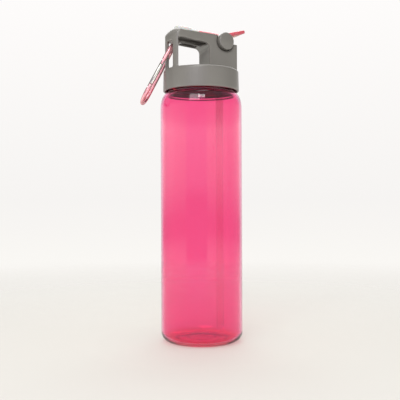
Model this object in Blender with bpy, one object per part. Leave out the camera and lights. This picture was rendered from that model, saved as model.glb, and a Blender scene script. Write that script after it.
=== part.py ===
"""A clear sports bottle with a screw lid, carry handle, flip spout, straw and clip-on carabiner.

Metres, +Z up. The origin is the middle of the base. The handle runs along X, with the spout at +X.
"""
from math import acos, asin, cos, pi, radians, sin

import bmesh
import bpy
from mathutils import Matrix, Vector

# Clearances shared by every pair of pieces that fit together
FIT_GAP = 0.0003
OVERSHOOT = 0.004
SINK = 0.001

# Bottle
BODY_RADIUS = 0.0350
BODY_WALL = 0.0019
BASE_CORNER = 0.0080
BASE_THICKNESS = 0.0042
BASE_PAD_RADIUS = 0.0110
BASE_GROOVE_WIDTH = 0.0120
BASE_GROOVE_DEPTH = 0.0012
SHOULDER_Z = 0.1995
SHOULDER_RISE = 0.0130
NECK_RADIUS = 0.0292
NECK_WALL = 0.0020
NECK_HEIGHT = 0.0155

# Lid skirt and deck
SKIRT_HEIGHT = 0.0180
THREAD_ROOM = 0.0014
SKIRT_DRAFT = 0.0004
SKIRT_WALL = 0.0021
SKIRT_EDGE = 0.0008
DECK_THICKNESS = 0.0022
GASKET_THICKNESS = 0.0012
PLUG_RING_WALL = 0.0013
PLUG_RING_HEIGHT = 0.0048

# Handle block above the deck
HANDLE_TOP_RISE = 0.0307
HANDLE_HALF_WIDTH_TAIL = 0.0108
HANDLE_HALF_WIDTH_HEAD = 0.0130
HANDLE_INSET = 0.0001
TAIL_ROUND = 0.0110
HOOD_LENGTH = 0.0056
HOOD_SLOPE = 0.0015
HOOD_EDGE_RISE = 0.0005
HOOD_CROWN = 0.0028
HOOD_STEPS = 8
TAIL_CORNER = 0.0036
CHEEK_STEP_RISE = 0.0244
POST_DEPTH = 0.0031
FINGER_HEAD_FRONT_X = 0.0010
FINGER_HEAD_REAR_X = 0.0062
FINGER_TAIL_FRONT_RISE = 0.0247
FINGER_HEAD_FRONT_RISE = 0.0224
FINGER_TAIL_REAR_RISE = 0.0228
FINGER_HEAD_REAR_RISE = 0.0217
FINGER_ROUND = 0.0045
CLIP_SLOT_WIDTH = 0.0090
CLIP_SLOT_HEIGHT = 0.0222
CLIP_SLOT_ROUND = 0.0015
CORE_SLOT_LENGTH = 0.0172
CORE_SLOT_WIDTH = 0.0038
CORE_SLOT_DEPTH = 0.0046
CORE_SLOT_WALL = 0.0016
CORE_SLOT_SETBACK = 0.0120

# Flip spout and its pivot
PIVOT_INSET = 0.0152
PIVOT_RISE = 0.0256
CAP_RADIUS = 0.0075
CAP_PROUD = 0.0029
CAP_CHAMFER = 0.0006
CAP_SEAT_DEPTH = 0.0026
CAP_SEAT_MARGIN = 0.0012
STUB_RADIUS = 0.0040
STUB_BITE = 0.0016
HUB_RADIUS = 0.0070
HUB_HALF_WIDTH = 0.0064
BOSS_WALL = 0.0013
ARM_RISE = 0.0056
ARM_RADIUS = 0.0036
ARM_LENGTH = 0.0205
SPIGOT_RADIUS = 0.0028
SPIGOT_LENGTH = 0.0065
BORE_RADIUS = 0.0016
TIP_RADIUS = 0.0052
TIP_NECK_RADIUS = 0.0038
TIP_LENGTH = 0.0222
TIP_NECK_SHARE = 0.12
TIP_FLARE_SHARE = 0.38
TAB_LENGTH = 0.0295
TAB_WIDTH = 0.0116
TAB_THICKNESS = 0.0030
TAB_LIFT = radians(15.8)
TAB_EDGE = 0.0009
TAB_RIB_DEPTH = 0.0028
TAB_RIB_WIDTH = 0.0076
TAB_RIB_START = 0.0080
TAB_RIB_LENGTH = 0.0180
TAB_GULLY_WALL = 0.0012
SPOUT_OPEN_ANGLE = radians(70.0)

# Drinking passage below the spout
SEAL_RADIUS = 0.0052
SEAL_POCKET_DEPTH = 0.0045
STRAW_OFFSET = 0.0026
STRAW_RADIUS = 0.0036
STRAW_WALL = 0.00085
STRAW_FLOOR_GAP = 0.0030
STRAW_SLANT = 0.0040
SOCKET_WALL = 0.0015
SOCKET_DEPTH = 0.0105
PORT_RADIUS = 0.0021
VENT_X = -0.0140
VENT_STEM_RADIUS = 0.0011
VENT_BUTTON_RADIUS = 0.0026
VENT_BUTTON_HEIGHT = 0.0011
VENT_SKIRT_RADIUS = 0.0040
VENT_SKIRT_HEIGHT = 0.0010

# Carabiner, hung round the rear post of the handle's tail
CLIP_YAW = radians(34.0)
CLIP_LEAN = radians(28.3)
CLIP_ROD = 0.0035
CLIP_TOP_RADIUS = 0.0072
CLIP_FOOT_RADIUS = 0.0098
CLIP_SPAN = 0.0380
CLIP_GATE_TOP = 0.0115
CLIP_NOSE_RUN = 0.0049
CLIP_DROP = 0.0030
CLIP_SIDEWAYS = -0.0008
TONGUE_THICKNESS = 0.0014
TONGUE_LENGTH = 0.0030
TONGUE_INSET = 0.0002
PIN_INSET = 0.0001
RIVET_RADIUS = 0.0007
LATCH_RADIUS = 0.0006
SPRING_RADIUS = 0.0006
SPRING_WIRE = 0.00013
SPRING_TURNS = 6
SPRING_LENGTH = 0.0072
PLUNGER_LENGTH = 0.0022

# Smoothness of round work
TURN_STEPS = 52
SMALL_STEPS = 24
PIN_STEPS = 16
ARC_STEPS = 8
ROD_SIDES = 14

# Heights that follow from the sizes above
neck_foot_z = SHOULDER_Z + SHOULDER_RISE
mouth_z = neck_foot_z + NECK_HEIGHT
gasket_z = mouth_z + FIT_GAP
deck_under_z = gasket_z + GASKET_THICKNESS + FIT_GAP
deck_z = deck_under_z + DECK_THICKNESS
skirt_foot_z = deck_z - SKIRT_HEIGHT
skirt_radius = NECK_RADIUS + THREAD_ROOM + SKIRT_WALL
handle_radius = skirt_radius - SKIRT_DRAFT - HANDLE_INSET
finger_tail_x = POST_DEPTH - handle_radius
pivot_x = handle_radius - PIVOT_INSET
handle_top_z = deck_z + HANDLE_TOP_RISE
hood_edge_z = handle_top_z + HOOD_EDGE_RISE
hood_top_z = hood_edge_z + HOOD_CROWN
cheek_step_z = deck_z + CHEEK_STEP_RISE
finger_top_z = deck_z + FINGER_TAIL_REAR_RISE
pivot_z = deck_z + PIVOT_RISE
slot_half_width = HUB_HALF_WIDTH + FIT_GAP
seat_y = slot_half_width + CAP_SEAT_DEPTH
arm_z = pivot_z + ARM_RISE
channel_half_width = TIP_RADIUS + 2 * FIT_GAP
hub_floor_z = pivot_z - HUB_RADIUS - 2 * FIT_GAP
arm_end_x = pivot_x - ARM_LENGTH
straw_x = pivot_x + STRAW_OFFSET


def handle_half_width(x):
    """Half the handle's width at x: it widens steadily from the tail to the spout end."""
    share = (x + handle_radius) / (2 * handle_radius)
    return HANDLE_HALF_WIDTH_TAIL + share * (HANDLE_HALF_WIDTH_HEAD - HANDLE_HALF_WIDTH_TAIL)


cap_face_y = handle_half_width(pivot_x) + CAP_PROUD


def clear_scene():
    for item in list(bpy.data.objects):
        bpy.data.objects.remove(item, do_unlink=True)


def plastic(name, colour, roughness, metallic=0.0, alpha=1.0):
    material = bpy.data.materials.new(name)
    material.use_nodes = True
    shader = material.node_tree.nodes["Principled BSDF"]
    shader.inputs["Base Color"].default_value = (*colour, 1.0)
    shader.inputs["Roughness"].default_value = roughness
    shader.inputs["Metallic"].default_value = metallic
    shader.inputs["Alpha"].default_value = alpha
    return material


def as_object(name, bm, material=None):
    """Close a bmesh into a named object, with faces outward and round work shaded smooth."""
    bmesh.ops.remove_doubles(bm, verts=bm.verts, dist=1e-7)
    bmesh.ops.recalc_face_normals(bm, faces=bm.faces)
    mesh = bpy.data.meshes.new(name)
    bm.to_mesh(mesh)
    bm.free()
    mesh.shade_smooth()
    mesh.set_sharp_from_angle(angle=radians(35))
    item = bpy.data.objects.new(name, mesh)
    bpy.context.collection.objects.link(item)
    if material:
        mesh.materials.append(material)
    return item


def is_closed(mesh):
    bm = bmesh.new()
    bm.from_mesh(mesh)
    closed = all(edge.is_manifold for edge in bm.edges)
    bm.free()
    return closed


def combine(item, tool, operation):
    """Join, cut or intersect with a tool shape; the second solver is for where the first leaves a gap."""
    modifier = item.modifiers.new(operation.title(), "BOOLEAN")
    modifier.operation = operation
    modifier.object = tool
    for solver in ("EXACT", "MANIFOLD"):
        modifier.solver = solver
        evaluated = item.evaluated_get(bpy.context.evaluated_depsgraph_get())
        mesh = bpy.data.meshes.new_from_object(evaluated)
        if is_closed(mesh):
            break
    item.modifiers.clear()
    item.data = mesh
    bpy.data.objects.remove(tool, do_unlink=True)
    return item


def join(item, tool):
    return combine(item, tool, "UNION")


def cut(item, tool):
    return combine(item, tool, "DIFFERENCE")


def arc(centre, radius, start, end, steps=ARC_STEPS):
    """Points of an arc in a plane, both ends included; angles in radians."""
    turn = end - start
    return [(centre[0] + radius * cos(start + turn * i / steps),
             centre[1] + radius * sin(start + turn * i / steps)) for i in range(steps + 1)]


def spin_profile(profile, steps=TURN_STEPS):
    """A closed outline of (radius, z) points turned about Z."""
    bm = bmesh.new()
    ring = [bm.verts.new((r, 0.0, z)) for r, z in profile]
    pairs = zip(ring, ring[1:] + ring[:1])
    edges = [bm.edges.new((a, b)) for a, b in pairs if a.co.x > 0 or b.co.x > 0]
    bmesh.ops.spin(bm, geom=ring + edges, cent=(0, 0, 0), axis=(0, 0, 1), angle=2 * pi,
                   steps=steps, use_merge=True, use_duplicate=False)
    bmesh.ops.remove_doubles(bm, verts=bm.verts, dist=1e-7)
    bmesh.ops.dissolve_degenerate(bm, edges=bm.edges, dist=1e-7)
    return bm


def turned(name, profile, material=None, steps=TURN_STEPS, place=None):
    bm = spin_profile(profile, steps)
    if place:
        bmesh.ops.transform(bm, matrix=place, verts=bm.verts)
    return as_object(name, bm, material)


def loft(name, outlines, material=None):
    """A solid through outlines of equal point count, with both ends capped."""
    bm = bmesh.new()
    rings = [[bm.verts.new(p) for p in outline] for outline in outlines]
    bm.faces.new(rings[0])
    bm.faces.new(rings[-1])
    for low, high in zip(rings, rings[1:]):
        for i in range(len(low)):
            j = (i + 1) % len(low)
            bm.faces.new((low[i], low[j], high[j], high[i]))
    return as_object(name, bm, material)


def along_z(name, outline, low, high, material=None):
    return loft(name, [[(x, y, z) for x, y in outline] for z in (low, high)], material)


def along_y(name, outline, low, high, material=None):
    return loft(name, [[(x, y, z) for x, z in outline] for y in (low, high)], material)


def along_x(name, outline, low, high, material=None):
    return loft(name, [[(x, y, z) for y, z in outline] for x in (low, high)], material)


def rectangle(low_a, high_a, low_b, high_b):
    return [(low_a, low_b), (high_a, low_b), (high_a, high_b), (low_a, high_b)]


def facing(axis, point):
    """The placement that stands a Z-turned shape along an axis, at a point."""
    turn = Vector((0, 0, 1)).rotation_difference(Vector(axis))
    return Matrix.Translation(point) @ turn.to_matrix().to_4x4()


def rod(name, radius, start, end, material=None, steps=SMALL_STEPS):
    """A plain round bar between two points."""
    start = Vector(start)
    span = Vector(end) - start
    profile = [(0, span.length), (radius, span.length), (radius, 0), (0, 0)]
    return turned(name, profile, material, steps, facing(span.normalized(), start))


def upright(name, radius, x, low, high, material=None):
    return rod(name, radius, (x, 0, low), (x, 0, high), material)


def make_bottle(material):
    """The clear body: straight wall, rounded shoulder, threaded neck left plain, and a grooved base."""
    shoulder = [(NECK_RADIUS + (BODY_RADIUS - NECK_RADIUS) * cos(a), SHOULDER_Z + SHOULDER_RISE * sin(a))
                for a in [i * pi / 2 / 10 for i in range(11)]]
    inner_radius = BODY_RADIUS - BODY_WALL
    bore_radius = NECK_RADIUS - NECK_WALL
    inner_corner = BASE_CORNER - BODY_WALL
    inside = [(bore_radius + (inner_radius - bore_radius) * cos(a), SHOULDER_Z + SHOULDER_RISE * sin(a))
              for a in [i * pi / 2 / 8 for i in range(8, -1, -1)]]
    groove_out = BASE_PAD_RADIUS + BASE_GROOVE_WIDTH
    outer = [(0, 0), (BASE_PAD_RADIUS, 0), (BASE_PAD_RADIUS + BASE_GROOVE_DEPTH, BASE_GROOVE_DEPTH),
             (groove_out - BASE_GROOVE_DEPTH, BASE_GROOVE_DEPTH), (groove_out, 0)]
    outer += arc((BODY_RADIUS - BASE_CORNER, BASE_CORNER), BASE_CORNER, -pi / 2, 0)
    lip = NECK_WALL / 4
    rim = [(NECK_RADIUS, mouth_z - lip), (NECK_RADIUS - lip, mouth_z),
           (bore_radius + lip, mouth_z), (bore_radius, mouth_z - lip)]
    floor = arc((inner_radius - inner_corner, BASE_THICKNESS + inner_corner), inner_corner, 0, -pi / 2)
    profile = outer + shoulder + rim + inside + floor + [(0, BASE_THICKNESS)]
    return turned("bottle_body", profile, material)


def skirt_shell(material):
    """The lid's round cap: skirt, deck and the plug ring that centres the gasket."""
    inner = skirt_radius - SKIRT_WALL
    top = skirt_radius - SKIRT_DRAFT
    plug_out = NECK_RADIUS - NECK_WALL - FIT_GAP
    profile = [(0, deck_z)]
    profile += arc((top - SKIRT_EDGE, deck_z - SKIRT_EDGE), SKIRT_EDGE, pi / 2, 0, 4)
    profile += arc((skirt_radius - SKIRT_EDGE, skirt_foot_z + SKIRT_EDGE), SKIRT_EDGE, 0, -pi / 2, 4)
    profile += [(inner, skirt_foot_z), (inner, deck_under_z), (plug_out, deck_under_z),
                (plug_out, deck_under_z - PLUG_RING_HEIGHT),
                (plug_out - PLUG_RING_WALL, deck_under_z - PLUG_RING_HEIGHT),
                (plug_out - PLUG_RING_WALL, deck_under_z), (0, deck_under_z)]
    return turned("lid", profile, material)


def eased(start, corner, end):
    """A smooth bend from start to end that pulls towards the corner between them."""
    points = []
    for i in range(ARC_STEPS + 1):
        share = i / ARC_STEPS
        weights = ((1 - share) ** 2, 2 * share * (1 - share), share ** 2)
        points.append(tuple(sum(w * p[k] for w, p in zip(weights, (start, corner, end))) for k in (0, 1)))
    return points


def handle_plan():
    """Plan of the block: tapering flanks, the lid's own circle at both ends, soft corners at the tail."""
    tail_half = handle_half_width(-handle_radius)
    tail = asin(tail_half / handle_radius)
    head = asin(handle_half_width(handle_radius) / handle_radius)
    plan = arc((0, 0), handle_radius, -head, head, 2 * ARC_STEPS)
    turn = TAIL_CORNER / handle_radius
    end = arc((0, 0), handle_radius, pi - tail + turn, pi + tail - turn, ARC_STEPS)
    corner = (-handle_radius * cos(tail), tail_half)
    flank_x = corner[0] + TAIL_CORNER
    upper = eased((flank_x, handle_half_width(flank_x)), corner, end[0])
    lower = [(x, -y) for x, y in reversed(upper)]
    return plan + upper + end[1:-1] + lower


def hood_rise(y):
    """How far the crowned hood at the tail stands above its edges, at y."""
    share = y / HANDLE_HALF_WIDTH_TAIL
    return HOOD_CROWN * max(0.0, 1 - share * share)


def handle_side(y):
    """Side view of the block at y: round hooded tail, level top, and a low step for the tab."""
    low = deck_z - SINK
    far = handle_radius + OVERSHOOT
    hood_end = HOOD_LENGTH - handle_radius
    steepest = acos(HOOD_LENGTH / TAIL_ROUND - 1)
    centre_z = hood_edge_z + hood_rise(y) - TAIL_ROUND * sin(steepest)
    outline = [(far, low), (far, cheek_step_z), (pivot_x, cheek_step_z), (pivot_x, handle_top_z)]
    outline += [(hood_end + HOOD_SLOPE, handle_top_z)]
    outline += arc((TAIL_ROUND - handle_radius, centre_z), TAIL_ROUND, steepest, pi)
    return [(x, y, z) for x, z in outline + [(-handle_radius, low)]]


def between_flanks(front, rear, y):
    """A value that runs evenly from the front flank to the rear one."""
    share = (y / HANDLE_HALF_WIDTH_HEAD + 1) / 2
    return front + share * (rear - front)


def finger_outline(y):
    """The finger hole in a plane across the handle, its ceiling dropping to a round corner at the spout."""
    low = deck_z - 2 * SINK
    head_x = between_flanks(FINGER_HEAD_FRONT_X, FINGER_HEAD_REAR_X, y)
    tail_top = deck_z + between_flanks(FINGER_TAIL_FRONT_RISE, FINGER_TAIL_REAR_RISE, y)
    head_top = deck_z + between_flanks(FINGER_HEAD_FRONT_RISE, FINGER_HEAD_REAR_RISE, y)
    corner = arc((head_x - FINGER_ROUND, head_top - FINGER_ROUND), FINGER_ROUND, 0, pi / 2)
    outline = [(finger_tail_x, low), (head_x, low)] + corner + [(finger_tail_x, tail_top)]
    return [(x, y, z) for x, z in outline]


def handle_block():
    """The handle with its finger hole, clip slot, moulded core slot, spout channel and pivot seats."""
    wide = handle_radius + OVERSHOOT
    block = along_z("handle", handle_plan(), deck_z - SINK, hood_top_z + OVERSHOOT)
    crown = [HANDLE_HALF_WIDTH_TAIL * (2 * i / HOOD_STEPS - 1) for i in range(HOOD_STEPS + 1)]
    combine(block, loft("side", [handle_side(y) for y in [-wide] + crown + [wide]]), "INTERSECT")
    beyond = HANDLE_HALF_WIDTH_HEAD + SINK
    cut(block, loft("finger", [finger_outline(-beyond), finger_outline(beyond)]))
    half = CLIP_SLOT_WIDTH / 2
    slot_top = deck_z + CLIP_SLOT_HEIGHT
    inset = half - CLIP_SLOT_ROUND
    slot = [(-half, deck_z - 2 * SINK), (half, deck_z - 2 * SINK)]
    slot += arc((inset, slot_top - CLIP_SLOT_ROUND), CLIP_SLOT_ROUND, 0, pi / 2, 4)
    slot += arc((-inset, slot_top - CLIP_SLOT_ROUND), CLIP_SLOT_ROUND, pi / 2, pi, 4)
    cut(block, along_x("slot", slot, -wide, finger_tail_x + OVERSHOOT))
    join(block, pivot_bosses())
    channel = [(-channel_half_width, hood_top_z + OVERSHOOT)]
    channel += arc((0, arm_z), channel_half_width, pi, 2 * pi, 2 * ARC_STEPS)
    channel += [(channel_half_width, hood_top_z + OVERSHOOT)]
    tip_room = arm_end_x - TIP_LENGTH - 3 * FIT_GAP
    cut(block, along_x("channel", channel, tip_room, pivot_x))
    well = rectangle(-slot_half_width, slot_half_width, hub_floor_z, handle_top_z + 2 * OVERSHOOT)
    cut(block, along_x("well", well, pivot_x - HUB_RADIUS - 2 * FIT_GAP, wide))
    tab_room = pivot_x + SEAL_RADIUS + FIT_GAP + TAB_GULLY_WALL
    gully = rectangle(-slot_half_width, slot_half_width, deck_z - 2 * SINK, handle_top_z)
    cut(block, along_x("tab", gully, tab_room, wide))
    for side in (-1, 1):
        seat = (pivot_x, side * seat_y, pivot_z)
        outside = (pivot_x, side * wide, pivot_z)
        cut(block, rod("seat", CAP_RADIUS + CAP_SEAT_MARGIN, seat, outside, steps=2 * SMALL_STEPS))
    cut(block, rod("hole", STUB_RADIUS + FIT_GAP, (pivot_x, -wide, pivot_z), (pivot_x, wide, pivot_z)))
    cut(block, core_slot())
    return block


def pivot_bosses():
    """Round bosses that carry the pivot stubs above the low step of each cheek."""
    reach = seat_y + SINK
    radius = STUB_RADIUS + FIT_GAP + BOSS_WALL
    return rod("boss", radius, (pivot_x, -reach, pivot_z), (pivot_x, reach, pivot_z))


def core_slot():
    """A moulder's core slot under the rear wall of the handle bar, with round ends."""
    rear = handle_half_width(finger_tail_x) - CORE_SLOT_WALL
    half = CORE_SLOT_WIDTH / 2
    start = finger_tail_x + CORE_SLOT_SETBACK + half
    end = start + CORE_SLOT_LENGTH - CORE_SLOT_WIDTH
    outline = arc((end, rear - half), half, -pi / 2, pi / 2)
    outline += arc((start, rear - half), half, pi / 2, 3 * pi / 2)
    return along_z("core", outline, finger_top_z - OVERSHOOT, finger_top_z + CORE_SLOT_DEPTH)


def make_lid(material):
    """One grey moulding: skirt, deck, handle, spout housing and straw socket."""
    lid = skirt_shell(material)
    join(lid, handle_block())
    socket_foot = deck_under_z - SOCKET_DEPTH
    pocket_foot = hub_floor_z - SEAL_POCKET_DEPTH
    join(lid, upright("socket", STRAW_RADIUS + FIT_GAP + SOCKET_WALL, straw_x, socket_foot, deck_z - SINK))
    cut(lid, upright("bore", STRAW_RADIUS + FIT_GAP, straw_x, socket_foot - OVERSHOOT, deck_under_z))
    cut(lid, upright("pocket", SEAL_RADIUS + FIT_GAP, pivot_x, pocket_foot, pivot_z))
    cut(lid, upright("port", PORT_RADIUS, straw_x, deck_under_z - OVERSHOOT, pocket_foot + SINK))
    cut(lid, upright("vent", VENT_STEM_RADIUS + FIT_GAP, VENT_X, deck_under_z - OVERSHOOT, deck_z + SINK))
    return lid


def make_gasket(material):
    inner = NECK_RADIUS - NECK_WALL
    outer = skirt_radius - SKIRT_WALL - FIT_GAP
    top = gasket_z + GASKET_THICKNESS
    round_off = GASKET_THICKNESS / 4
    profile = [(inner, top), (outer - round_off, top), (outer, top - round_off),
               (outer, gasket_z + round_off), (outer - round_off, gasket_z), (inner, gasket_z)]
    return turned("lid_gasket", profile, material)


def make_spout(material):
    """The rigid pink spout: hub, arm with a spigot, thumb tab with a rib, and the drinking bore."""
    centre = Vector((pivot_x, 0, pivot_z))
    side = Vector((0, HUB_HALF_WIDTH, 0))
    spout = rod("flip_spout", HUB_RADIUS, centre - side, centre + side, material, 2 * SMALL_STEPS)
    join(spout, rod("arm", ARM_RADIUS, (arm_end_x, 0, arm_z), (pivot_x, 0, arm_z)))
    spigot_ends = [(arm_end_x - SPIGOT_LENGTH, 0, arm_z), (arm_end_x + SINK, 0, arm_z)]
    join(spout, rod("spigot", SPIGOT_RADIUS, *spigot_ends))
    join(spout, thumb_tab())
    for end in (-1, 1):
        mouth = centre + end * (side - Vector((0, STUB_BITE, 0)))
        cut(spout, rod("socket", STUB_RADIUS + FIT_GAP, mouth, centre + end * 2 * side))
    bore_ends = [(arm_end_x - 2 * SPIGOT_LENGTH, 0, arm_z), (pivot_x, 0, arm_z)]
    cut(spout, rod("bore", BORE_RADIUS, *bore_ends, steps=PIN_STEPS))
    inlet = Vector((sin(SPOUT_OPEN_ANGLE), 0, -cos(SPOUT_OPEN_ANGLE)))
    start = Vector((pivot_x - BORE_RADIUS, 0, arm_z - BORE_RADIUS / 2))
    cut(spout, rod("inlet", BORE_RADIUS, start, centre + 2 * HUB_RADIUS * inlet, steps=PIN_STEPS))
    return spout


def thumb_tab():
    """A thin slab that leaves the hub's top and rises outward, with a shallow rib beneath its root."""
    root = HUB_RADIUS - TAB_THICKNESS / 2
    half = TAB_WIDTH / 2
    plan = rectangle(-half, half, root - TAB_THICKNESS / 2 + FIT_GAP, root + TAB_THICKNESS / 2 + FIT_GAP)
    tab = along_x("tab", plan, 0, TAB_LENGTH)
    bevel = tab.modifiers.new("Edge", "BEVEL")
    bevel.width = TAB_EDGE
    bevel.segments = 2
    evaluated = tab.evaluated_get(bpy.context.evaluated_depsgraph_get())
    tab.data = bpy.data.meshes.new_from_object(evaluated)
    tab.modifiers.clear()
    under = root - TAB_THICKNESS / 2
    rib = [(TAB_RIB_START, root), (TAB_RIB_START, under - TAB_RIB_DEPTH),
           (TAB_RIB_START + TAB_RIB_LENGTH, under), (TAB_RIB_START + TAB_RIB_LENGTH, root)]
    join(tab, along_y("rib", rib, -TAB_RIB_WIDTH / 2, TAB_RIB_WIDTH / 2))
    tab.data.transform(Matrix.Translation((pivot_x, 0, pivot_z)) @ Matrix.Rotation(-TAB_LIFT, 4, "Y"))
    return tab


def make_mouthpiece(material):
    """The soft tip: a bulb that is pushed over the arm's spigot."""
    end = arm_end_x - FIT_GAP
    outer = [(TIP_NECK_RADIUS, 0), (TIP_NECK_RADIUS, TIP_NECK_SHARE * TIP_LENGTH)]
    rise = TIP_RADIUS - TIP_NECK_RADIUS
    for i in range(ARC_STEPS):
        share = (i + 1) / ARC_STEPS
        along = (TIP_NECK_SHARE + TIP_FLARE_SHARE * share) * TIP_LENGTH
        outer.append((TIP_NECK_RADIUS + rise * (1 - cos(pi * share)) / 2, along))
    round_off = TIP_RADIUS / 2
    nose = arc((TIP_RADIUS - round_off, TIP_LENGTH - round_off), round_off, 0, pi / 2)
    seat = SPIGOT_LENGTH + FIT_GAP
    socket = SPIGOT_RADIUS + FIT_GAP
    bore = [(BORE_RADIUS, TIP_LENGTH), (BORE_RADIUS, seat), (socket, seat), (socket, 0)]
    place = facing((-1, 0, 0), (end, 0, arm_z))
    return turned("mouthpiece", outer + nose + bore, material, SMALL_STEPS, place)


def make_pivot_cap(name, side, material):
    """A grey button with a stub that turns in the cheek and is pressed into the hub."""
    face = cap_face_y
    seat = seat_y + FIT_GAP
    end = HUB_HALF_WIDTH - STUB_BITE + FIT_GAP
    profile = [(0, face), (CAP_RADIUS - CAP_CHAMFER, face), (CAP_RADIUS, face - CAP_CHAMFER),
               (CAP_RADIUS, seat), (STUB_RADIUS, seat), (STUB_RADIUS, end), (0, end)]
    place = facing((0, side, 0), (pivot_x, 0, pivot_z))
    return turned(name, profile, material, 2 * SMALL_STEPS, place)


def make_seal(material):
    """The soft pad under the hub, hollowed to the hub's curve and bored for the drink."""
    foot = hub_floor_z - SEAL_POCKET_DEPTH + FIT_GAP
    seal = upright("spout_seal", SEAL_RADIUS, pivot_x, foot, pivot_z, material)
    wide = 2 * SEAL_RADIUS
    ends = [(pivot_x, end * wide, pivot_z) for end in (-1, 1)]
    cut(seal, rod("hub", HUB_RADIUS + FIT_GAP, *ends, steps=2 * SMALL_STEPS))
    cut(seal, upright("port", PORT_RADIUS, straw_x, foot - OVERSHOOT, pivot_z))
    return seal


def make_straw(material):
    """A thin tube pushed up into the lid's socket and cut on the slant near the base."""
    top = deck_under_z - FIT_GAP
    foot = BASE_THICKNESS + STRAW_FLOOR_GAP
    inner = STRAW_RADIUS - STRAW_WALL
    profile = [(STRAW_RADIUS, top), (STRAW_RADIUS, foot), (inner, foot), (inner, top)]
    straw = turned("straw", profile, material, SMALL_STEPS, Matrix.Translation((straw_x, 0, 0)))
    for vertex in straw.data.vertices:
        if vertex.co.z < (top + foot) / 2:
            vertex.co.z += STRAW_SLANT * (vertex.co.x - straw_x + STRAW_RADIUS) / (2 * STRAW_RADIUS)
    return straw


def make_vent(material):
    """A little mushroom valve that lets air in through the deck."""
    top = deck_z + FIT_GAP
    under = deck_under_z - FIT_GAP
    crown = VENT_BUTTON_RADIUS - VENT_BUTTON_HEIGHT / 2
    profile = [(0, top + VENT_BUTTON_HEIGHT), (crown, top + VENT_BUTTON_HEIGHT),
               (VENT_BUTTON_RADIUS, top + VENT_BUTTON_HEIGHT / 2), (VENT_BUTTON_RADIUS, top),
               (VENT_STEM_RADIUS, top), (VENT_STEM_RADIUS, under),
               (VENT_SKIRT_RADIUS, under - VENT_SKIRT_HEIGHT / 2),
               (VENT_SKIRT_RADIUS, under - VENT_SKIRT_HEIGHT), (0, under - VENT_SKIRT_HEIGHT / 2)]
    return turned("vent_valve", profile, material, SMALL_STEPS, Matrix.Translation((VENT_X, 0, 0)))


# Carabiner frame of reference: u runs down the clip, w runs across to the spine, n is its normal
u_axis = Vector((-sin(CLIP_LEAN) * cos(CLIP_YAW), sin(CLIP_LEAN) * sin(CLIP_YAW), -cos(CLIP_LEAN)))
w_axis = Vector((sin(CLIP_YAW), cos(CLIP_YAW), 0.0))
n_axis = u_axis.cross(w_axis)
rod_radius = CLIP_ROD / 2
tongue_half = rod_radius - TONGUE_INSET


def clip_origin():
    """Centre of the clip's upper bend, set so that the spine leans on the deck's rim."""
    post_half = CLIP_SLOT_WIDTH / 2
    rear = handle_half_width(finger_tail_x)
    middle = Vector((finger_tail_x, (post_half + rear) / 2, 0))
    sideways = w_axis.dot(middle) + CLIP_SIDEWAYS
    outward = Vector((-cos(CLIP_YAW), sin(CLIP_YAW), 0))
    height = finger_top_z - CLIP_DROP - CLIP_TOP_RADIUS * cos(CLIP_LEAN)
    edge_radius = skirt_radius - SKIRT_DRAFT - SKIRT_EDGE
    rim = edge_radius * cos(CLIP_LEAN) + (deck_z - SKIRT_EDGE) * sin(CLIP_LEAN) + SKIRT_EDGE
    back = (rim + rod_radius + FIT_GAP - height * sin(CLIP_LEAN)) / cos(CLIP_LEAN)
    return outward * back + w_axis * sideways + Vector((0, 0, height))


clip_centre = clip_origin()


def clip_point(u, w, n=0.0):
    return clip_centre + u_axis * u + w_axis * w + n_axis * n


def clip_side(sign):
    """Where the straight side leaves the upper bend and meets the lower one, as (u, w) pairs."""
    tilt = asin((CLIP_FOOT_RADIUS - CLIP_TOP_RADIUS) / CLIP_SPAN)
    top = (-CLIP_TOP_RADIUS * sin(tilt), sign * CLIP_TOP_RADIUS * cos(tilt))
    foot = (CLIP_SPAN - CLIP_FOOT_RADIUS * sin(tilt), sign * CLIP_FOOT_RADIUS * cos(tilt))
    return Vector(top), Vector(foot), tilt


gate_top, gate_foot, clip_tilt = clip_side(-1)
gate_line = (gate_foot - gate_top).normalized()
gate_inward = Vector((-gate_line.y, gate_line.x))
gate_length = (gate_foot - gate_top).length - CLIP_GATE_TOP - CLIP_NOSE_RUN
pivot_uw = gate_top + gate_line * CLIP_GATE_TOP


def bar(name, path, radius, material=None):
    """A round bar swept along points, with flat ends."""
    bm = bmesh.new()
    rings = []
    for i, point in enumerate(path):
        ahead = path[min(i + 1, len(path) - 1)] - path[max(i - 1, 0)]
        across = ahead.cross(n_axis).normalized()
        ring = []
        for k in range(ROD_SIDES):
            turn = 2 * pi * k / ROD_SIDES
            ring.append(bm.verts.new(point + radius * (cos(turn) * across + sin(turn) * n_axis)))
        rings.append(ring)
    bm.faces.new(rings[0])
    bm.faces.new(rings[-1])
    for low, high in zip(rings, rings[1:]):
        for i in range(ROD_SIDES):
            j = (i + 1) % ROD_SIDES
            bm.faces.new((low[i], low[j], high[j], high[i]))
    return as_object(name, bm, material)


def on_gate(distance, inward=0.0, n=0.0):
    """A point on the gate's own line, measured from its rivet."""
    u, w = pivot_uw + gate_line * distance + gate_inward * inward
    return clip_point(u, w, n)


def gate_slab(name, outline, thickness):
    """A flat shape in the clip's plane, drawn along and across the gate line."""
    return loft(name, [[on_gate(a, b, n) for a, b in outline] for n in (-thickness / 2, thickness / 2)])


def gate_rod(name, at, radius, reach, material=None):
    """A round bar square to the clip's plane, on the gate line."""
    return rod(name, radius, on_gate(at, 0, -reach), on_gate(at, 0, reach), material, PIN_STEPS)


def tongue(name, start, end, thickness):
    """A flat strap along the gate line with a round end, for the rivet and latch joints."""
    half = tongue_half
    first = -pi / 2 if end > start else pi / 2
    outline = arc((end, 0), half, first, first + pi)
    outline += [(start, half), (start, -half)] if end > start else [(start, -half), (start, half)]
    return gate_slab(name, outline, thickness)


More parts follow.
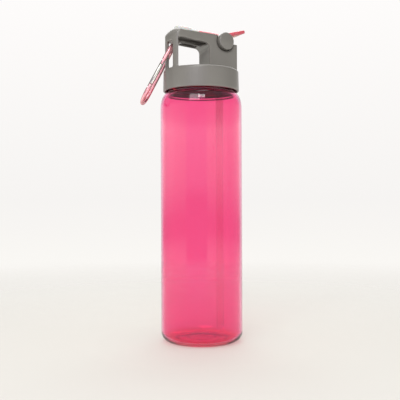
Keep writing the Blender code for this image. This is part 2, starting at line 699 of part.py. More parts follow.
def make_clip_frame(material):
    """The anodised loop: from the rivet tongue over the upper bend, down the spine, round to the nose."""
    tilt = clip_tilt
    shoulder = CLIP_GATE_TOP - TONGUE_LENGTH
    nose = CLIP_GATE_TOP + gate_length + TONGUE_LENGTH
    path = [gate_top + gate_line * shoulder]
    path += arc((0, 0), CLIP_TOP_RADIUS, -pi / 2 - tilt, -3 * pi / 2 + tilt, 2 * ARC_STEPS)
    path += arc((CLIP_SPAN, 0), CLIP_FOOT_RADIUS, pi / 2 + tilt, -pi / 2 - tilt, 2 * ARC_STEPS)
    path += [gate_top + gate_line * nose]
    frame = bar("carabiner_frame", [clip_point(u, w) for u, w in path], rod_radius, material)
    join(frame, tongue("hinge", -TONGUE_LENGTH - SINK, 0, TONGUE_THICKNESS))
    nose_root = gate_length + TONGUE_LENGTH + SINK
    join(frame, tongue("nose", nose_root, gate_length, TONGUE_THICKNESS))
    cut(frame, gate_rod("rivet", 0, RIVET_RADIUS + FIT_GAP, CLIP_ROD))
    notch = LATCH_RADIUS + FIT_GAP
    outline = arc((gate_length, 0), notch, pi, 2 * pi)
    outline += [(gate_length + notch, CLIP_ROD), (gate_length - notch, CLIP_ROD)]
    cut(frame, gate_slab("notch", outline, 2 * CLIP_ROD))
    return frame


def make_gate(material):
    """The polished gate: a bar forked at both ends and bored for its spring."""
    ends = [on_gate(-tongue_half), on_gate(gate_length + tongue_half)]
    gate = rod("carabiner_gate", rod_radius, *ends, material, ROD_SIDES)
    gap = TONGUE_THICKNESS + 2 * FIT_GAP
    clear = tongue_half + FIT_GAP
    for start, end in ((-CLIP_ROD, clear), (gate_length - clear, gate_length + CLIP_ROD)):
        cut(gate, gate_slab("fork", rectangle(start, end, -CLIP_ROD, CLIP_ROD), gap))
    bore = SPRING_RADIUS + SPRING_WIRE + FIT_GAP
    depth = clear + PLUNGER_LENGTH + SPRING_LENGTH + 3 * FIT_GAP
    cut(gate, rod("bore", bore, on_gate(0), on_gate(depth), steps=PIN_STEPS))
    for at, radius in ((0, RIVET_RADIUS), (gate_length, LATCH_RADIUS)):
        cut(gate, gate_rod("pin", at, radius + FIT_GAP, CLIP_ROD))
    return gate


def make_pin(name, at, radius, material):
    """A headless pin across the gate's fork."""
    return gate_rod(name, at, radius, rod_radius - PIN_INSET, material)


def make_plunger(material):
    """The little piston that presses on the hinge tongue."""
    start = tongue_half + FIT_GAP
    ends = [on_gate(start), on_gate(start + PLUNGER_LENGTH)]
    return rod("gate_plunger", SPRING_RADIUS + SPRING_WIRE, *ends, material, PIN_STEPS)


def make_spring(material):
    """The coil behind the piston, one unbroken wire."""
    start = tongue_half + 2 * FIT_GAP + PLUNGER_LENGTH + SPRING_WIRE
    length = SPRING_LENGTH - 2 * SPRING_WIRE
    steps = ARC_STEPS * SPRING_TURNS
    points = []
    for i in range(steps + 1):
        turn = 2 * pi * SPRING_TURNS * i / steps
        along = start + length * i / steps
        points.append(on_gate(along, SPRING_RADIUS * cos(turn), SPRING_RADIUS * sin(turn)))
    curve = bpy.data.curves.new("gate_spring", "CURVE")
    curve.dimensions = "3D"
    curve.bevel_depth = SPRING_WIRE
    curve.bevel_resolution = 1
    curve.use_fill_caps = True
    spline = curve.splines.new("POLY")
    spline.points.add(len(points) - 1)
    for spot, point in zip(spline.points, points):
        spot.co = (*point, 1.0)
    curve.materials.append(material)
    spring = bpy.data.objects.new("gate_spring", curve)
    bpy.context.collection.objects.link(spring)
    pitch = length / SPRING_TURNS
    print("gate_spring least gap to itself:", round((pitch - 2 * SPRING_WIRE) * 1000, 2), "mm")
    return spring


def joint_empty(name, place, pieces):
    """An empty on a joint's axis that carries its pieces."""
    empty = bpy.data.objects.new(name, None)
    empty.location = place
    bpy.context.collection.objects.link(empty)
    for piece in pieces:
        piece.parent = empty
        piece.matrix_parent_inverse = Matrix.Translation(-Vector(place))
    return empty


def main():
    clear_scene()
    clear_pink = plastic("clear_pink", (0.90, 0.16, 0.28), 0.08, alpha=0.45)
    grey = plastic("lid_grey", (0.22, 0.21, 0.19), 0.45)
    pink = plastic("spout_pink", (0.68, 0.11, 0.16), 0.35)
    milky = plastic("soft_milky", (0.72, 0.70, 0.66), 0.40, alpha=0.8)
    anodised = plastic("anodised_pink", (0.62, 0.30, 0.34), 0.30, metallic=0.9)
    silver = plastic("polished_silver", (0.80, 0.80, 0.80), 0.15, metallic=1.0)

    make_bottle(clear_pink)
    gasket = make_gasket(milky)
    lid = make_lid(grey)
    vent = make_vent(milky)
    seal = make_seal(milky)
    straw = make_straw(milky)
    spout = make_spout(pink)
    tip = make_mouthpiece(milky)
    caps = [make_pivot_cap(f"pivot_cap_{name}", side, grey) for name, side in (("front", -1), ("rear", 1))]
    frame = make_clip_frame(anodised)
    gate = make_gate(silver)
    rivet = make_pin("gate_rivet", 0, RIVET_RADIUS, silver)
    latch = make_pin("latch_pin", gate_length, LATCH_RADIUS, silver)
    plunger = make_plunger(silver)
    spring = make_spring(silver)

    joint_empty("lid_turn_axis", (0, 0, deck_z), [gasket, lid, vent, seal, straw])
    joint_empty("spout_axis", (pivot_x, 0, pivot_z), [spout, tip, *caps])
    joint_empty("clip_axis", clip_centre, [frame, rivet])
    joint_empty("gate_axis", on_gate(0), [gate, latch, plunger, spring])
    print("clip axis", [round(c, 5) for c in clip_centre], "along", [round(c, 5) for c in w_axis])
    print("gate axis", [round(c, 5) for c in on_gate(0)], "along", [round(c, 5) for c in n_axis])
    print("spout axis", round(pivot_x, 5), round(pivot_z, 5), "deck", round(deck_z, 5))


main()
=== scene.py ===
# %% [markdown]
# # A clear sports bottle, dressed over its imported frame
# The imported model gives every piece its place. This notebook gives each piece its finish: rounded edges,
# clear pink plastic, a satin grey lid, milky silicone and a small anodised clip.

# %% load the frame
from math import cos, pi, radians, sin

import bmesh
import bpy
from mathutils import Matrix, Vector


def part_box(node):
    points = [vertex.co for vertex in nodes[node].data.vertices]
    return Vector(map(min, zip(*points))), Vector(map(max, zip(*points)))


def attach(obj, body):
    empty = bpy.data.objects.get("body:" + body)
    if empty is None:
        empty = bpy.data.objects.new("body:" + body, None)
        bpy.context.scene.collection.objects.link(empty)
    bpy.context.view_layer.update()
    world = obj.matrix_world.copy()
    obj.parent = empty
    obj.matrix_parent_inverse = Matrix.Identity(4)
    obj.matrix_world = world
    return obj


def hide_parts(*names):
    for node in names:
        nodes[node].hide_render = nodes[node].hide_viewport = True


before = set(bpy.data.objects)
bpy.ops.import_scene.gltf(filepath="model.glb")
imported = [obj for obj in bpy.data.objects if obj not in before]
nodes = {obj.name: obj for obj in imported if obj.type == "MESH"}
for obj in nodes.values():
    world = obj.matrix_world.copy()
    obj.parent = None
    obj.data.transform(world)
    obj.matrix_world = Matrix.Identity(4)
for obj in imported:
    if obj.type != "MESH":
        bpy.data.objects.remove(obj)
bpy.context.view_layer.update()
print("nodes:", ", ".join(sorted(nodes)))

# %% [markdown]
# ## Camera
# The horizon runs through the middle of the picture, so the camera stands level, 121 mm above the floor.
# The pivot cap shows as an ellipse, and its width says how far the handle is turned: 34 degrees. A long
# lens far away would flatten the lid's ellipses, so the camera stands close, at 570 mm. The photograph
# leans by a fifth of a degree, and so does the camera.

# %% camera
VIEW_TURN = radians(34)
EYE_DISTANCE = 0.570
EYE_HEIGHT = 0.121
CAMERA_ROLL = radians(0.22)
SENSOR_WIDTH = 36
FOCAL_LENGTH = 59.4
FRAME_SHIFT = -0.0036

lens = bpy.data.cameras.new("camera")
lens.sensor_width = SENSOR_WIDTH
lens.lens = FOCAL_LENGTH
lens.shift_x = FRAME_SHIFT
camera = bpy.data.objects.new("camera", lens)
camera.location = (-EYE_DISTANCE * sin(VIEW_TURN), -EYE_DISTANCE * cos(VIEW_TURN), EYE_HEIGHT)
camera.rotation_euler = (radians(90), CAMERA_ROLL, -VIEW_TURN)
bpy.context.scene.collection.objects.link(camera)
bpy.context.scene.camera = camera
bpy.context.scene.view_settings.view_transform = "Standard"
print("camera at", [round(v, 3) for v in camera.location])

# %% [markdown]
# ## Shader arithmetic
# A material is a small graph of nodes. Wiring it by hand hides the idea, so a thin class lets an output
# socket take part in sums as a number does, and one method adds any other node with its settings and
# sockets.


# %% a socket that behaves like a number
class Wire:
    """The output of a node, which takes part in sums."""

    def __init__(self, recipe, socket):
        self.recipe = recipe
        self.socket = socket

    def reckon(self, operation, first, second):
        return self.recipe.add("Math", {"operation": operation}, {0: first, 1: second})

    def __add__(self, other):
        return self.reckon("ADD", self, other)

    def __sub__(self, other):
        return self.reckon("SUBTRACT", self, other)

    def __rsub__(self, other):
        return self.reckon("SUBTRACT", other, self)

    def __mul__(self, other):
        return self.reckon("MULTIPLY", self, other)

    def larger(self, other):
        return self.reckon("MAXIMUM", self, other)

    def ramp(self, *stops):
        """Colours by position: each stop is (position, (r, g, b))."""
        return self.recipe.add("ValToRGB", {"stops": stops}, {0: self})

    __radd__ = __add__
    __rmul__ = __mul__


# %% a node tree with one way to add a node
class Recipe:
    """A node tree whose nodes are added by kind, settings and sockets."""

    def __init__(self, tree):
        self.tree = tree

    def feed(self, socket, value):
        """Link a wire to a socket, or write a plain value on it."""
        if isinstance(value, Wire):
            self.tree.links.new(value.socket, socket)
        elif socket.type == "RGBA":
            socket.default_value = (*value, 1)
        else:
            socket.default_value = value

    def add(self, kind, settings=None, sockets=None, out=0):
        node = self.tree.nodes.new("ShaderNode" + kind)
        for key, value in (settings or {}).items():
            if key == "stops":
                self.set_stops(node.color_ramp.elements, value)
            else:
                setattr(node, key, value)
        for key, value in (sockets or {}).items():
            self.feed(node.inputs[key], value)
        return Wire(self, node.outputs[out])

    @staticmethod
    def set_stops(elements, stops):
        while len(elements) < len(stops):
            elements.new(1.0)
        for element, (position, colour) in zip(elements, stops):
            element.position = position
            element.color = (*colour, 1)


# %% a material
BLACK, WHITE = (0, 0, 0), (1, 1, 1)


class Finish(Recipe):
    """A material: its sockets are set by name, with a plain value or a wire."""

    def __init__(self, name, **sockets):
        self.material = bpy.data.materials.new(name)
        self.material.use_nodes = True
        super().__init__(self.material.node_tree)
        self.shader = self.tree.nodes["Principled BSDF"]
        self.output = self.tree.nodes["Material Output"]
        self.set(**sockets)

    def set(self, **sockets):
        for key, value in sockets.items():
            self.feed(self.shader.inputs[key.replace("_", " ").title().replace("Ior", "IOR")], value)

    def place(self, stretch=(1, 1, 1)):
        """Object coordinates in metres, stretched along each axis."""
        here = self.add("TexCoord", out="Object")
        return self.add("Mapping", sockets={"Vector": here, "Scale": stretch})

    def noise(self, scale, detail=3.0, stretch=(1, 1, 1)):
        return self.add("TexNoise", sockets={"Vector": self.place(stretch), "Scale": scale, "Detail": detail})

    def mottle(self, scale, detail, darker, paler):
        """A colour that drifts between two, by a noise."""
        return self.noise(scale, detail).ramp((0.3, darker), (0.7, paler))

    def height(self):
        return self.add("SeparateXYZ", sockets={0: self.place()}, out="Z")

    def grain(self, wire, strength, depth):
        """Raise the surface by a wire's value, depth in metres."""
        self.set(normal=self.add("Bump", sockets={"Strength": strength, "Distance": depth, "Height": wire}))

    def show_through(self, factor, tint=WHITE):
        """Mix the surface with a clear, tinted one: a factor of 1 shows only what lies behind."""
        clear = self.add("BsdfTransparent", sockets={"Color": tint})
        own = Wire(self, self.shader.outputs[0])
        self.feed(self.output.inputs["Surface"], self.add("MixShader", sockets={0: factor, 1: own, 2: clear}))

    def let_light_through(self, tint):
        """Lamps and daylight reach what lies behind, tinted, where plain glass would cast a black shadow."""
        from_lamp = self.add("LightPath", out="Is Shadow Ray")
        self.show_through(from_lamp.larger(self.add("LightPath", out="Is Diffuse Ray")), tint)


def tell(*finishes):
    """Print how much each finish holds."""
    for finish in finishes:
        print(finish.material.name, "is made of", len(finish.tree.nodes), "nodes")


# %% [markdown]
# ## Clear pink plastic
# The body is a tinted clear moulding. A coloured volume would do it, but the export can't carry one, so
# the tint sits in the surface: light that crosses both walls comes out twice as pink. Close to the base
# the plastic is thicker and looks redder, and the deeper red there is also painted shade, for the shade
# on the floor beneath. A faint waviness breaks up the reflections, as in a blown bottle.

# %% clear pink plastic
BASE_ZONE = 0.020
BASE_RED_AND_SHADE = (0.82, 0.12, 0.17)
RIPPLE_DEPTH = 0.0004

clear_pink = Finish("bottle_clear", ior=1.45, transmission_weight=1.0)
cloud = clear_pink.noise(11.0, 2.0, (1, 1, 0.35))
wall_tint = cloud.ramp((0.35, (0.990, 0.265, 0.490)), (0.70, (0.995, 0.295, 0.520)))
# Painted shade near the base: a deeper red for the thicker plastic and for the shaded floor seen through it.
towards_base = (1 / BASE_ZONE * clear_pink.height()).ramp((0.03, WHITE), (0.30, BLACK))
tint = clear_pink.add("Mix", {"data_type": "RGBA"}, {0: towards_base, 6: wall_tint, 7: BASE_RED_AND_SHADE}, out=2)
clear_pink.set(base_color=tint, roughness=0.03 + 0.05 * clear_pink.noise(160.0))
clear_pink.grain(clear_pink.noise(38.0, 1.0, (1, 1, 0.3)), 0.30, RIPPLE_DEPTH)
clear_pink.let_light_through((0.93, 0.80, 0.82))
tell(clear_pink)

# %% [markdown]
# ## Satin grey lid
# The lid is opaque moulded plastic with a fine spark-eroded grain. One flat grey would look like paint,
# so three noises share the work: a slow one drifts the grey, a second varies the gloss, and a fine one
# lifts the grain. The hollows underneath are rougher, and their darker grey is painted shade.

# %% satin grey lid
GRAIN_DEPTH = 0.00002

grey = Finish("lid_grey", ior=1.62)
grey.set(base_color=grey.mottle(35.0, 4.0, (0.214, 0.201, 0.183), (0.236, 0.223, 0.205)),
         roughness=0.26 + 0.08 * grey.noise(60.0))
grey.grain(grey.noise(5000.0, 2.0), 0.04, GRAIN_DEPTH)

# Painted shade: a darker, rougher grey for the hollows under the deck and in the bar's pockets.
shaded = Finish("lid_painted_shade", ior=1.45)
shaded.set(base_color=shaded.mottle(35.0, 4.0, (0.082, 0.074, 0.066), (0.098, 0.088, 0.079)),
           roughness=0.46 + 0.16 * shaded.noise(900.0))
tell(grey, shaded)

# %% [markdown]
# ## Pink spout
# The spout is a solid pink moulding. Light soaks into it a little. The thin rib under its tab is painted
# paler than the tab: painted light from the floor below.

# %% pink spout
SOAK_DEPTH = 0.003

spout_pink = Finish("spout_pink", ior=1.49, subsurface_weight=0.15, subsurface_scale=SOAK_DEPTH)
spout_pink.set(base_color=spout_pink.mottle(60.0, 3.0, (0.78, 0.120, 0.165), (0.84, 0.150, 0.200)),
               roughness=0.28 + 0.14 * spout_pink.noise(1200.0))

# Painted light: the rib under the tab is paler, as light from the floor below makes it.
rib_painted_light = Finish("spout_painted_light", ior=1.45, subsurface_weight=0.3, subsurface_scale=SOAK_DEPTH)
rib_painted_light.set(base_color=rib_painted_light.mottle(80.0, 3.0, (0.90, 0.66, 0.59), (0.94, 0.71, 0.64)),
              roughness=0.34 + 0.14 * rib_painted_light.noise(1200.0))
tell(spout_pink, rib_painted_light)

# %% [markdown]
# ## Milky silicone and the straw
# The mouth tip and seals are milky silicone. The straw is a clear tube, painted darker near its socket as
# shade from the lid. A plastic's own index would draw two hard lines down the body, so it is set low,
# which leaves a soft band.

# %% silicone and straw
MILK_DEPTH = 0.002
LID_SHADE_START = 0.135
LID_SHADE_RATE = 12.0

silicone = Finish("soft_milky", ior=1.41, subsurface_weight=0.4, subsurface_scale=MILK_DEPTH)
silicone.set(base_color=silicone.mottle(120.0, 3.0, (0.70, 0.695, 0.67), (0.76, 0.755, 0.73)),
             roughness=0.32 + 0.20 * silicone.noise(1500.0, 2.0))

straw_clear = Finish("straw_clear", ior=1.045, transmission_weight=1.0)
# Painted shade: the straw's colour darkens towards the lid.
shade_rise = LID_SHADE_RATE * (straw_clear.height() - LID_SHADE_START)
straw_clear.set(base_color=shade_rise.ramp((0.0, (0.955, 0.915, 0.910)), (0.35, (0.970, 0.955, 0.955)),
                                      (0.80, (0.86, 0.83, 0.80))),
                roughness=0.06 + 0.10 * straw_clear.noise(700.0, 3.0, (1, 1, 0.1)))
straw_clear.let_light_through((0.92, 0.90, 0.90))
tell(silicone, straw_clear)

# %% [markdown]
# ## Clip metals
# The loop is aluminium with a pink anodised skin, drawn along its length. The gate is polished steel.
# Noises that are stretched upwards leave fine drawing marks in the gloss.

# %% anodised clip and polished steel
anodised = Finish("clip_pink", metallic=0.85)
anodised.set(base_color=anodised.mottle(400.0, 3.0, (0.63, 0.290, 0.325), (0.73, 0.365, 0.400)),
             roughness=0.30 + 0.18 * anodised.noise(2500.0, 3.0, (1, 1, 0.15)))

steel = Finish("polished_steel", metallic=1.0)
steel.set(base_color=steel.mottle(500.0, 2.0, (0.42, 0.405, 0.38), (0.50, 0.485, 0.46)),
          roughness=0.14 + 0.16 * steel.noise(3000.0, 3.0, (1, 1, 0.1)))
tell(anodised, steel)

# %% [markdown]
# ## Pieces from the frame
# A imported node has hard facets, because a solid model stores flat triangles. A dressed copy is welded,
# its flat faces are made whole, its sharp edges are rounded, and it stands for the node.

# %% a finished piece
SHARP_ANGLE = radians(32)


def put(name, bm, finish, body, slot, *replaced):
    """Make a piece from a bmesh, smooth-shaded, riding on a body."""
    bmesh.ops.recalc_face_normals(bm, faces=bm.faces)
    mesh = bpy.data.meshes.new(name)
    bm.to_mesh(mesh)
    bm.free()
    mesh.shade_smooth()
    mesh.set_sharp_from_angle(angle=SHARP_ANGLE)
    mesh.materials.append(finish.material)
    piece = bpy.data.objects.new(name, mesh)
    bpy.context.scene.collection.objects.link(piece)
    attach(piece, body)
    if replaced:
        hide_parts(*replaced)
    print(name, "has", len(mesh.polygons), "faces")
    return piece


# %% a copy of a node, welded and rounded
FLAT_ANGLE = radians(0.6)
WELD_DISTANCE = 2e-6
BEVEL_ANGLE = radians(38)
BEVEL_STEPS = 2


def welded(node):
    """The node's mesh as one skin, with its flat faces whole again."""
    bm = bmesh.new()
    bm.from_mesh(nodes[node].data)
    bmesh.ops.remove_doubles(bm, verts=bm.verts, dist=WELD_DISTANCE)
    bmesh.ops.dissolve_limit(bm, angle_limit=FLAT_ANGLE, verts=bm.verts, edges=bm.edges)
    return bm


def rounded(bm, width):
    """Round the sharp edges."""
    sharp = [e for e in bm.edges if len(e.link_faces) == 2 and e.calc_face_angle(0) > BEVEL_ANGLE]
    bmesh.ops.bevel(bm, geom=sharp, offset=width, offset_type="OFFSET", affect="EDGES", segments=BEVEL_STEPS,
                    profile=0.5, material=-1, clamp_overlap=True)
    return bm


# %% a bmesh run through modifiers
def as_object(name, bm):
    """A bmesh as an object in the scene, for a modifier to work on or with."""
    mesh = bpy.data.meshes.new(name)
    bm.to_mesh(mesh)
    bm.free()
    item = bpy.data.objects.new(name, mesh)
    bpy.context.scene.collection.objects.link(item)
    return item


def modified(bm, *steps):
    """Run a bmesh through modifiers, each given as (kind, settings)."""
    work = as_object("work", bm)
    for kind, settings in steps:
        modifier = work.modifiers.new(kind.title(), kind)
        for key, value in settings.items():
            setattr(modifier, key, value)
    done = bmesh.new()
    done.from_object(work, bpy.context.evaluated_depsgraph_get())
    bpy.data.objects.remove(work, do_unlink=True)
    return done


# %% [markdown]
# ## The grey lid
# Underneath, the handle's bar is cored out, as thick mouldings are, so that it cools evenly. Three blocks
# cut it: a long one under the trough for the soft tip, a deeper slot along the front wall, and a short
# one towards the rear.

# %% pockets under the handle's bar: low corner, high corner and top of each
POCKETS = (((-0.0265, -0.0094), (0.0005, 0.0008), 0.2569),
           ((-0.0265, -0.0094), (-0.0035, -0.0066), 0.2605),
           ((-0.0172, 0.0030), (-0.0010, 0.0078), 0.2569))
POCKET_HEIGHT = 0.012
POCKET_CORNER = 0.0012
POCKET_CORNER_STEPS = 4


def cutter(low, high, top):
    """A round-cornered block from below the bar up to a height."""
    bm = bmesh.new()
    bmesh.ops.create_cube(bm, size=1)
    bmesh.ops.scale(bm, verts=bm.verts, vec=(high[0] - low[0], high[1] - low[1], POCKET_HEIGHT))
    middle = ((low[0] + high[0]) / 2, (low[1] + high[1]) / 2, top - POCKET_HEIGHT / 2)
    bmesh.ops.translate(bm, verts=bm.verts, vec=middle)
    upright = [e for e in bm.edges if abs(e.verts[0].co.z - e.verts[1].co.z) > POCKET_HEIGHT / 2]
    bmesh.ops.bevel(bm, geom=upright, offset=POCKET_CORNER, affect="EDGES", segments=POCKET_CORNER_STEPS,
                    profile=0.5, material=-1)
    return as_object("cutter", bm)


cutters = [cutter(*pocket) for pocket in POCKETS]
cuts = [("BOOLEAN", {"operation": "DIFFERENCE", "solver": "EXACT", "object": tool}) for tool in cutters]
lid_shape = modified(welded("lid"), *cuts)
for tool in cutters:
    bpy.data.objects.remove(tool, do_unlink=True)
print("cored lid has", len(lid_shape.faces), "faces")

# %% [markdown]
# A low ledge runs round each pivot cap, from the handle's side, underneath and up to the outer side. Its
# square section is drawn once and swept about the pivot.

# %% a ledge round each pivot cap
LEDGE_RADII = (0.0077, 0.0089)
LEDGE_DEPTHS = (0.0088, 0.0114)
LEDGE_START, LEDGE_END = radians(146), radians(350)
LEDGE_STEPS = 48

low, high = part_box("pivot_cap_front")
pivot = Vector(((low.x + high.x) / 2, 0, (low.z + high.z) / 2))
(small, large), (near, far) = LEDGE_RADII, LEDGE_DEPTHS
for side in (-1, 1):
    section = [lid_shape.verts.new(pivot + Vector((r * cos(LEDGE_START), side * depth, r * sin(LEDGE_START))))
               for r, depth in ((small, near), (large, near), (large, far), (small, far))]
    edges = [lid_shape.edges.new(pair) for pair in zip(section, section[1:] + section[:1])]
    swept = bmesh.ops.spin(lid_shape, geom=section + edges, cent=pivot, axis=(0, -1, 0),
                           angle=LEDGE_END - LEDGE_START, steps=LEDGE_STEPS, use_merge=False,
                           use_duplicate=False)
    last = [e for e in swept["geom_last"] if isinstance(e, bmesh.types.BMEdge)]
    bmesh.ops.holes_fill(lid_shape, edges=edges + last, sides=4)
print("lid with ledges has", len(lid_shape.faces), "faces")

# %% [markdown]
# Every edge of a moulding is softly rounded, outside and in. A bevel can't follow the short edges where
# curved cuts meet, so the lid is remeshed finely and relaxed, which rounds all edges alike. The remesh
# keeps the facets of the imported skirt, so its points then move out on to a true circle, and its rim is
# rounded.

# %% soft edges all over
VOXEL = 0.00056
RELAX_ROUNDS = 8

lid_shape = modified(lid_shape, ("REMESH", {"mode": "VOXEL", "voxel_size": VOXEL}),
                     ("SMOOTH", {"factor": 0.5, "iterations": RELAX_ROUNDS}))
print("remeshed lid has", len(lid_shape.faces), "faces")

# %% a truly round skirt with a soft rim
SKIRT_BORE = 0.0313
SKIRT_FACETS = 52
SKIRT_MARGIN = 0.0015
SKIRT_HEIGHT = 0.0180
SKIRT_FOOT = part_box("lid")[0].z
DECK_TOP = SKIRT_FOOT + SKIRT_HEIGHT
DECK_MARGIN = 0.001
RIM_BAND = 0.005
RIM_ROUND = 0.0022
RIM_RUN_OUT = 0.0035
HANDLE_HALF_WIDTH = 0.0128

facet = 2 * pi / SKIRT_FACETS
on_skirt = [v for v in lid_shape.verts
            if v.co.z < DECK_TOP + DECK_MARGIN and v.co.xy.length > SKIRT_BORE - SKIRT_MARGIN]
for v in on_skirt:
    off_middle = (v.co.xy.angle_signed(Vector((1, 0)), 0) % facet) - facet / 2
    v.co.xy *= cos(off_middle) / cos(facet / 2)
rim_radius = max(v.co.xy.length for v in on_skirt if v.co.z > DECK_TOP - RIM_BAND)
for v in on_skirt:
    round_here = RIM_ROUND * max(0.0, min(1.0, (abs(v.co.y) - HANDLE_HALF_WIDTH) / RIM_RUN_OUT))
    corner = Vector((v.co.xy.length - rim_radius + round_here, v.co.z - DECK_TOP + round_here))
    if min(corner) > 0 and corner.length > round_here:
        corner *= round_here / corner.length
        v.co.xy *= (rim_radius - round_here + corner.x) / v.co.xy.length
        v.co.z = DECK_TOP - round_here + corner.y
print("rim radius", round(rim_radius, 5))
lid_shell = put("lid_shell", lid_shape, grey, "lid", "lid_grey", "lid")

# %% [markdown]
# The hollows under the deck and in the bar's pockets are rougher and catch little light, so their darker
# grey is painted shade. A piece of their own would leave a seam, so the faces there take the shaded
# finish, picked by where they lie.

# %% the hollows with painted shade
DECK_MIDDLE = 0.2309
NEAR = 0.0004
TAIL_X, HEAD_X = -0.0298, 0.0036
BAR_UNDERSIDE = ((0.2567, 0.2548), (0.2544, 0.2537))


def underside(x, y):
    """Height of the bar's slanted underside, which falls towards the head and the rear."""
    along = (x - TAIL_X) / (HEAD_X - TAIL_X)
    across = (y + HANDLE_HALF_WIDTH) / (2 * HANDLE_HALF_WIDTH)
    front, rear = (tail + (head - tail) * along for tail, head in zip(*BAR_UNDERSIDE))
    return front + (rear - front) * across


def in_pocket(x, y, z):
    """Whether a point lies in a pocket or on its wall."""
    within = (low[0] - NEAR < x < high[0] + NEAR and low[1] - NEAR < y < high[1] + NEAR and z < top + NEAR
              for low, high, top in POCKETS)
    return underside(x, y) + NEAR < z and any(within)


lid_shell.data.materials.append(shaded.material)
for face in lid_shell.data.polygons:
    under_deck = face.center.z < DECK_MIDDLE and face.center.xy.length < SKIRT_BORE
    if under_deck or in_pocket(*face.center):
        face.material_index = 1
print("shaded faces:", sum(face.material_index for face in lid_shell.data.polygons))

# %% [markdown]
# ## Pivot caps
# Two round buttons hold the spout between the lid's cheeks and turn with it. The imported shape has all
# their form, so a bevel on its sharp edges is enough.

# %% the pivot caps
EDGE_ROUND = 0.0003

for side in ("front", "rear"):
    cap = f"pivot_cap_{side}"
    put(f"cap_{side}", rounded(welded(cap), EDGE_ROUND), grey, "spout", "lid_grey", cap)

# %% [markdown]
# ## The spout
# The spout keeps its imported shape, with softer edges. Under its tab runs a rib with painted light, a
# paler pink for the light from below. A rib made apart would have to be fitted to the tab's slant, so its
# faces take a second finish, picked by where they lie along the tab and above it.

# %% the pink spout, with painted light on the rib under its tab
TAB_LIFT = radians(15.8)
TAB_UNDERSIDE = 0.0041
RIB_START = 0.0076
RIB_HALF_WIDTH = 0.0042

spout = rounded(welded("flip_spout"), EDGE_ROUND)
spout_arm = put("spout_arm", spout, spout_pink, "spout", "spout_pink", "flip_spout")
spout_arm.data.materials.append(rib_painted_light.material)
for face in spout_arm.data.polygons:
    out, up = face.center.x - pivot.x, face.center.z - pivot.z
    along = out * cos(TAB_LIFT) + up * sin(TAB_LIFT)
    above = up * cos(TAB_LIFT) - out * sin(TAB_LIFT)
    if along > RIB_START and above < TAB_UNDERSIDE and abs(face.center.y) < RIB_HALF_WIDTH:
        face.material_index = 1
print("paler faces:", sum(face.material_index for face in spout_arm.data.polygons))

# %% [markdown]
# ## The clip
# The loop is a bent rod and round already, so it is only welded. The gate and its pins are thin, and a
# wide bevel would eat their edges, so they are rounded more finely than the spout.

# %% the clip
GATE_ROUND = 0.0002
PIN_ROUND = 0.00015

put("clip_loop", welded("carabiner_frame"), anodised, "clip", "clip_pink", "carabiner_frame")
for name, node, width, body in (("clip_gate", "carabiner_gate", GATE_ROUND, "gate"),
                                ("rivet_head", "gate_rivet", PIN_ROUND, "clip"),
                                ("latch_cross_pin", "latch_pin", PIN_ROUND, "gate")):
    put(name, rounded(welded(node), width), steel, body, "polished_steel", node)

# %% [markdown]
# ## Seals and gate works
# The seals and the valve are soft mouldings inside the lid, and a piston and a spring sit in the gate.
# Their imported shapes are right, so each only takes a finish.

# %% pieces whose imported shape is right
for name, finish in (("gate_plunger", steel), ("gate_spring", steel), ("lid_gasket", silicone),
                     ("vent_valve", silicone), ("spout_seal", silicone)):
    nodes[name].data.materials.clear()
    nodes[name].data.materials.append(finish.material)
    print(name, "keeps its shape and takes", finish.material.name)

# %% [markdown]
# ## The clear body
# The real body is one blown shell. Its section, outside then inside, is drawn once and spun on many
# steps, because a clear wall shows every facet in its reflections.

# %% helpers for turned pieces
MERGE_DISTANCE = 1e-7


def spun(profile, steps):
    """A closed (radius, z) outline turned about Z."""
    bm = bmesh.new()
    ring = [bm.verts.new((r, 0, z)) for r, z in profile]
    edges = [bm.edges.new((a, b)) for a, b in zip(ring, ring[1:] + ring[:1]) if a.co.x > 0 or b.co.x > 0]
    bmesh.ops.spin(bm, geom=ring + edges, cent=(0, 0, 0), axis=(0, 0, 1), angle=2 * pi, steps=steps,
                   use_merge=True, use_duplicate=False)
    bmesh.ops.remove_doubles(bm, verts=bm.verts, dist=MERGE_DISTANCE)
    bmesh.ops.dissolve_degenerate(bm, edges=bm.edges, dist=MERGE_DISTANCE)
    return bm


def bow(centre, radius, start, end, steps):
    """Points of an arc, angles in degrees."""
    turns = [radians(start + (end - start) * i / steps) for i in range(steps + 1)]
    return [(centre[0] + radius * cos(t), centre[1] + radius * sin(t)) for t in turns]


# %% body sizes
low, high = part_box("bottle_body")
BODY_RADIUS = high.x
MOUTH_Z = high.z
BODY_WALL = 0.0019
BODY_STEPS = 128
BASE_CORNER = 0.0080
OUTER_STEPS, INNER_STEPS = 12, 10
FLOOR_Z = 0.0026
GROOVE_RADII = (0.0110, 0.0230)
GROOVE_DEPTH = 0.0012
SHOULDER_Z = 0.1995
SHOULDER_RISE = 0.0130
SHOULDER_WALL = 0.0010
SHOULDER_STEPS = 16
NECK_RADIUS = 0.0292
NECK_WALL = 0.0020
MOUTH_EDGE = 0.0005
print("body is", round(2 * BODY_RADIUS, 4), "m across and", round(MOUTH_Z, 4), "m high")

# %% body outline, outside then inside
quarter = [radians(90 * i / SHOULDER_STEPS) for i in range(SHOULDER_STEPS + 1)]
groove_start, groove_end = GROOVE_RADII
inner = BODY_RADIUS - BODY_WALL
inner_corner = BASE_CORNER - BODY_WALL
inner_rise = SHOULDER_RISE - SHOULDER_WALL
bore = NECK_RADIUS - NECK_WALL


def shoulder(foot, top, rise, angles):
    """A quarter ellipse from the wall's radius to the neck's."""
    return [(top + (foot - top) * cos(a), SHOULDER_Z + rise * sin(a)) for a in angles]


